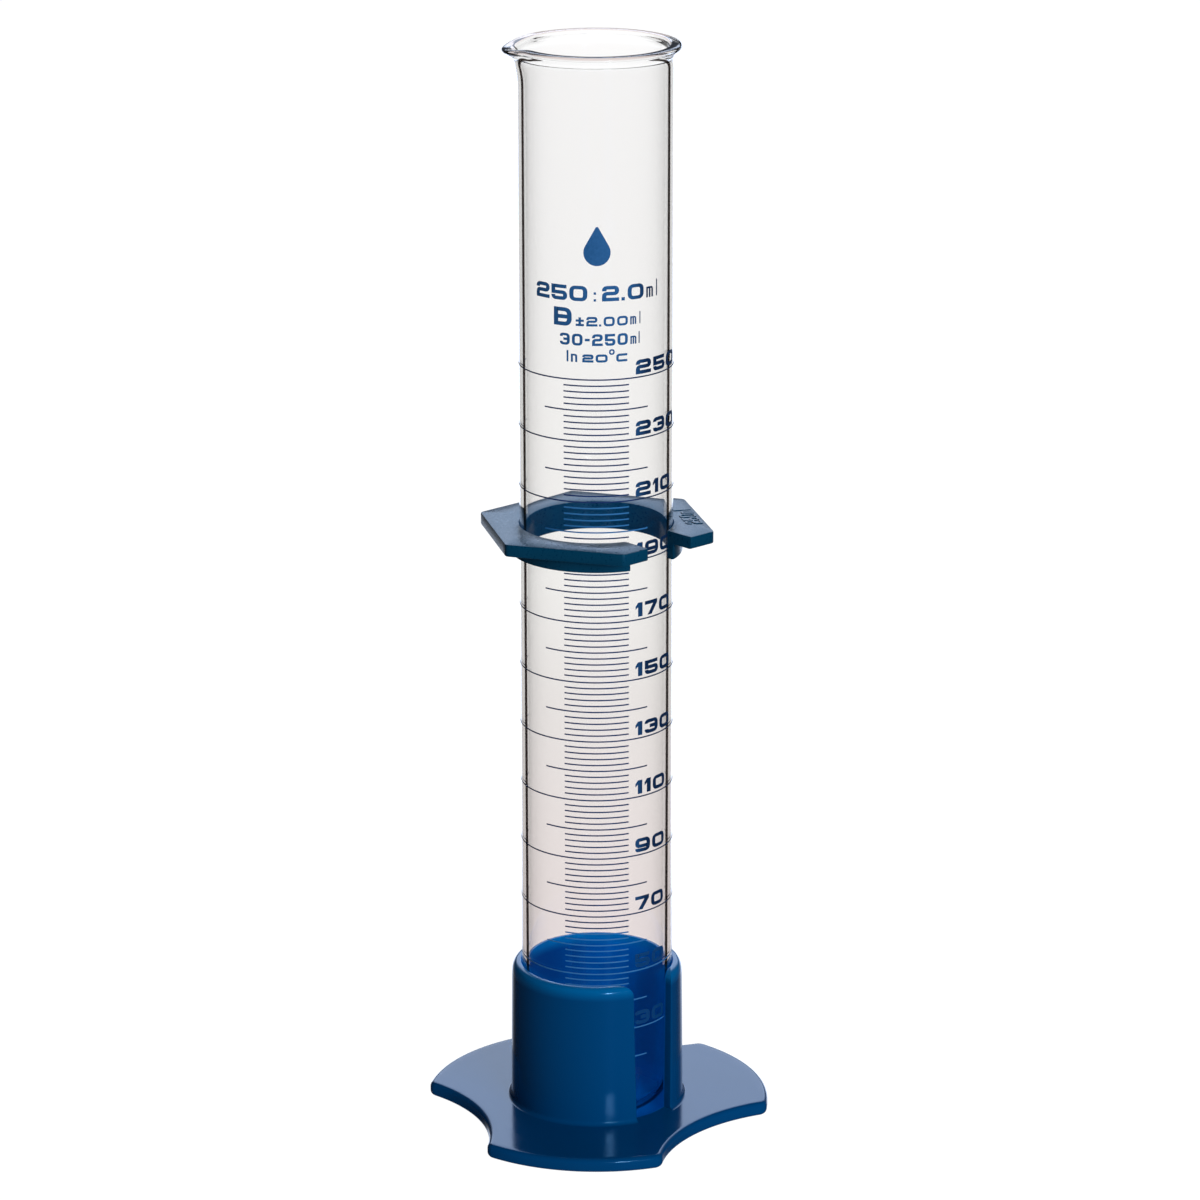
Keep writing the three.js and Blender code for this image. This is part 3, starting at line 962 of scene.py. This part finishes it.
def drawn_glass():
    """Clear borosilicate glass with the faint lengthwise ripple of drawn tube.

    Light at a grazing angle goes round inside the wall and is lost. The dark line that this makes
    just inside the tube's edges isn't traced: Layer Weight draws it on the outer face. It moves with
    the view, widens when seen from above, and isn't kept in an exported model.
    """
    material, nodes, links, shader, place = new_material("clear_borosilicate_glass")
    tint = spread(nodes, links, noise(nodes, links, place, 12, 1), 0, 1)
    colour = blend_colours(nodes, links, tint, (0.995, 0.998, 1.0), (1.0, 1.0, 1.0))
    k = Nodes(material.node_tree)
    way = nodes.new("ShaderNodeSeparateXYZ")
    links.new(place, way.inputs[0])
    radius = clear_of_axis(k, way.outputs[0], way.outputs[1])
    outside = k.math("GREATER_THAN", radius, OUTER_FACE_FROM * MM)
    weight = nodes.new("ShaderNodeLayerWeight")
    grazing = k.ramp(weight.outputs["Facing"],
                     [(0, 0), (0.598, 0), (0.613, 1), (0.680, 1), (0.695, 0), (1, 0)])
    colour = k.mix(k.math("MULTIPLY", outside, grazing), colour, EDGE_LINE)
    links.new(colour, shader.inputs["Base Color"])
    shader.inputs["Transmission Weight"].default_value = 1
    shader.inputs["Roughness"].default_value = 0
    shader.inputs["IOR"].default_value = 1.473
    ripple = noise(nodes, links, place, 60, 1, 0.4, (1, 1, 0.03))
    add_bump(nodes, links, shader, ripple, 0.004, 0.05)
    return material


FIGURE_BLUES = (0.018, 0.085, 0.230), (0.012, 0.068, 0.190)
LINE_BLUES = (0.010, 0.026, 0.100), (0.007, 0.018, 0.080)
# painted shade on the enamel towards the right of the tube
SHADED_BLUE = (0.003, 0.016, 0.055)
# painted light and shade where blue plastic is behind the glass: lines paler, figures all but vanish
LINE_PAINTED_LIGHT_ON_BLUE = (0.020, 0.115, 0.300)
FIGURE_PAINTED_SHADE_ON_BLUE = (0.001, 0.034, 0.130)
BEHIND_BASE = (0, 59.5)
BEHIND_GUARD = (173.0, 181.5)


def fired_enamel(name, blues, over_plastic):
    """Blue enamel fired onto the glass, a little grainy from its screen; painted shade makes it darkest
    on the right.

    over_plastic lists (low, high) levels and the painted light and shade that the enamel takes between
    them, where plastic stands behind the glass. These bands are fixed to the tube for the rest pose and
    don't follow the base or the guard.
    """
    material, nodes, links, shader, place = new_material(name)
    speckle = spread(nodes, links, noise(nodes, links, place, 1800, 2, 0.6), 0, 1)
    thin, dense = blues
    colour = blend_colours(nodes, links, speckle, dense, thin)
    k = Nodes(material.node_tree)
    way = nodes.new("ShaderNodeSeparateXYZ")
    links.new(place, way.inputs[0])
    # painted shade towards the right
    right = spread(nodes, links, way.outputs[0], 0, 1, 0.009, 0.014)
    colour = k.mix(right, colour, SHADED_BLUE)
    level = k.math("MULTIPLY", way.outputs[2], 1 / MM)
    # painted light and shade where plastic is behind the glass at rest
    for (low, high), painted_light_and_shade in over_plastic:
        above, below = k.math("GREATER_THAN", level, low), k.math("LESS_THAN", level, high)
        colour = k.mix(k.math("MULTIPLY", above, below), colour, painted_light_and_shade)
    links.new(colour, shader.inputs["Base Color"])
    links.new(spread(nodes, links, speckle, 0.42, 0.6), shader.inputs["Roughness"])
    shader.inputs["IOR"].default_value = 1.5
    shader.inputs["Specular Tint"].default_value = (0.3, 0.6, 1.0, 1)
    add_bump(nodes, links, shader, speckle, 0.2, 0.01)
    return material


# ---- floor, light and world -----------------------------------------------------------------

def make_floor():
    reach, cells = 6.0, 8
    row = cells + 1
    ticks = np.linspace(-reach, reach, row)
    verts = [(x, y, 0) for y in ticks for x in ticks]
    corners = [r * row + c for r in range(cells) for c in range(cells)]
    faces = [(i, i + 1, i + row + 1, i + row) for i in corners]
    mesh = bpy.data.meshes.new("floor")
    mesh.from_pydata(verts, [], faces)
    material = bpy.data.materials.new("pale_floor")
    material.use_nodes = True
    nodes, links = material.node_tree.nodes, material.node_tree.links
    shader = nodes["Principled BSDF"]
    shader.inputs["Base Color"].default_value = (0.10, 0.10, 0.10, 1)
    shader.inputs["Roughness"].default_value = 0.9
    shader.inputs["Specular IOR Level"].default_value = 0
    shader.inputs["Emission Color"].default_value = (1, 1, 1, 1)
    paths = nodes.new("ShaderNodeLightPath")
    seen = nodes.new("ShaderNodeMapRange")
    seen.inputs["To Min"].default_value, seen.inputs["To Max"].default_value = 0.4, 1.0
    links.new(paths.outputs["Is Camera Ray"], seen.inputs["Value"])
    links.new(seen.outputs["Result"], shader.inputs["Emission Strength"])
    mesh.materials.append(material)
    floor = bpy.data.objects.new("floor", mesh)
    bpy.context.scene.collection.objects.link(floor)
    floor.visible_transmission = False
    floor.visible_glossy = False


def area_light(name, place, aim, size, power):
    data = bpy.data.lights.new(name, "AREA")
    data.shape = "RECTANGLE"
    data.size, data.size_y = size[0] * MM, size[1] * MM
    data.energy = power
    light = bpy.data.objects.new(name, data)
    bpy.context.scene.collection.objects.link(light)
    light.location = Vector(place) * MM
    light.rotation_euler = (Vector(aim) * MM - light.location).to_track_quat("-Z", "Y").to_euler()
    return light


CREPT_GREY = 0.2         # light that has crept round inside the glass wall
WINDOW_WHITE = (1.7, 1.95, 2.45)
WHITE = (1, 1, 1)


def make_world():
    """A white studio, which fades and warms downwards where it is seen through the glass.

    What the plastic and the glass reflect is a room with one bright window behind the object. The
    camera itself sees plain white.
    """
    world = bpy.data.worlds.new("studio")
    bpy.context.scene.world = world
    world.use_nodes = True
    k = Nodes(world.node_tree)
    way = k.nodes.new("ShaderNodeSeparateXYZ")
    k.links.new(k.nodes.new("ShaderNodeTexCoord").outputs["Generated"], way.inputs[0])
    x, y, z = way.outputs
    paths = k.nodes.new("ShaderNodeLightPath")
    side = k.math("ARCTAN2", x, y)
    turn = k.math("ABSOLUTE", side)
    down = k.math("MULTIPLY", k.math("ARCSINE", k.math("MULTIPLY", z, -1)), 1 / math.radians(30))

    # how far the direction is from the nearest quarter turn, from 0 to 1 at an eighth turn
    eighth = math.pi / 4
    off_quarter = k.math("MULTIPLY", k.math("PINGPONG", turn, eighth), 1 / eighth)

    # what is seen straight through the glass, and after a reflection inside its wall
    refracted = k.ramp(off_quarter, [(0, 1.0), (6 / 45, 0.99), (10.5 / 45, 0.97), (15.5 / 45, 0.94),
                                     (1, 0.94)])
    bounced = k.ramp(off_quarter, [(0, 0.88), (20 / 45, 0.84), (30.5 / 45, 0.80), (1, 0.8)])
    crept = k.math("GREATER_THAN", paths.outputs["Transmission Depth"], 3.5)
    bounced = k.mix(crept, bounced, (CREPT_GREY, CREPT_GREY, CREPT_GREY))

    # the fall-off downwards
    fade = k.ramp(down, [(0, (1.08, 1.08, 1.08)), (11 / 30, (1.055, 1.045, 1.04)),
                         (16.8 / 30, (1.02, 1.0, 0.975)), (18.1 / 30, (0.955, 0.91, 0.885)),
                         (20.7 / 30, (0.925, 0.835, 0.82)), (1, (0.87, 0.765, 0.745))])
    straight = k.math("LESS_THAN", paths.outputs["Glossy Depth"], 0.5)
    through = k.mix(1.0, fade, k.mix(straight, bounced, refracted), "MULTIPLY")

    # what is reflected: the window, its bars of light and shade, and a faint blue strip in front
    window = k.ramp(k.math("MULTIPLY", turn, 1 / math.pi),
                    [(0, WINDOW_WHITE), (16 / 180, WINDOW_WHITE), (26 / 180, 0.32), (37 / 180, 0.03),
                     (1, 0.0)])
    levels = k.ramp(k.math("MULTIPLY", k.math("ADD", z, 1), 0.5),
                    [(0, 0.3), (0.315, 0.3), (0.335, 1.0), (0.49, 1.0), (0.51, 0.04), (0.593, 0.05),
                     (0.615, 1.0), (0.8, 1.0), (0.9, 0.02), (1, 0.02)])
    strip = k.ramp(k.math("ABSOLUTE", k.math("SUBTRACT", side, math.radians(160))),
                   [(0, (0.05, 0.1, 0.2)), (math.radians(3), (0.03, 0.06, 0.12)), (math.radians(9), 0.0),
                    (1, 0.0)])
    room = k.mix(1.0, k.mix(1.0, window, levels, "MULTIPLY"), strip, "ADD")

    ahead = k.math("MULTIPLY", k.math("LESS_THAN", turn, math.radians(50)), k.math("LESS_THAN", z, 0.2))
    onward = k.math("MAXIMUM", straight, k.math("MAXIMUM", ahead, k.math("GREATER_THAN", z, 0.6)))
    lit = k.mix(k.math("MULTIPLY", paths.outputs["Is Transmission Ray"], onward), room, through)
    background = k.nodes["Background"]
    k.links.new(k.mix(paths.outputs["Is Camera Ray"], lit, WHITE), background.inputs["Color"])
    background.inputs["Strength"].default_value = 1.0


def make_lights():
    key = area_light("front_box", (640, -1110, 520), (0, 0, 40), (700, 500), 18.2)
    fill = area_light("top_box", (-150, -150, 1300), (0, 0, 100), (600, 600), 0.4)
    back = area_light("back_box", (-100, 1280, 150), (0, 0, 100), (700, 300), 9)
    for light in (key, fill, back):
        light.visible_glossy = False
        light.visible_transmission = False
    area_light("glint", (430, -1240, 560), (0, 0, 60), (220, 90), 3.0)


# ---- build ----------------------------------------------------------------------------------

bpy.context.scene.view_settings.view_transform = "Standard"
glossy, grained, glass = moulded_plastic(), grained_plastic(), drawn_glass()
figure_enamel = fired_enamel("fired_blue_enamel", FIGURE_BLUES, [(BEHIND_BASE, FIGURE_PAINTED_SHADE_ON_BLUE)])
line_enamel = fired_enamel("fired_dark_enamel", LINE_BLUES,
                           [(BEHIND_BASE, LINE_PAINTED_LIGHT_ON_BLUE), (BEHIND_GUARD, LINE_PAINTED_LIGHT_ON_BLUE)])
make_foot(glossy)
make_sleeve(glossy)
make_tube(glass)
make_scale(line_enamel, figure_enamel)
make_inscription(figure_enamel)
make_guard(grained)
make_guard_lettering(grained)
make_floor()
make_lights()
make_world()
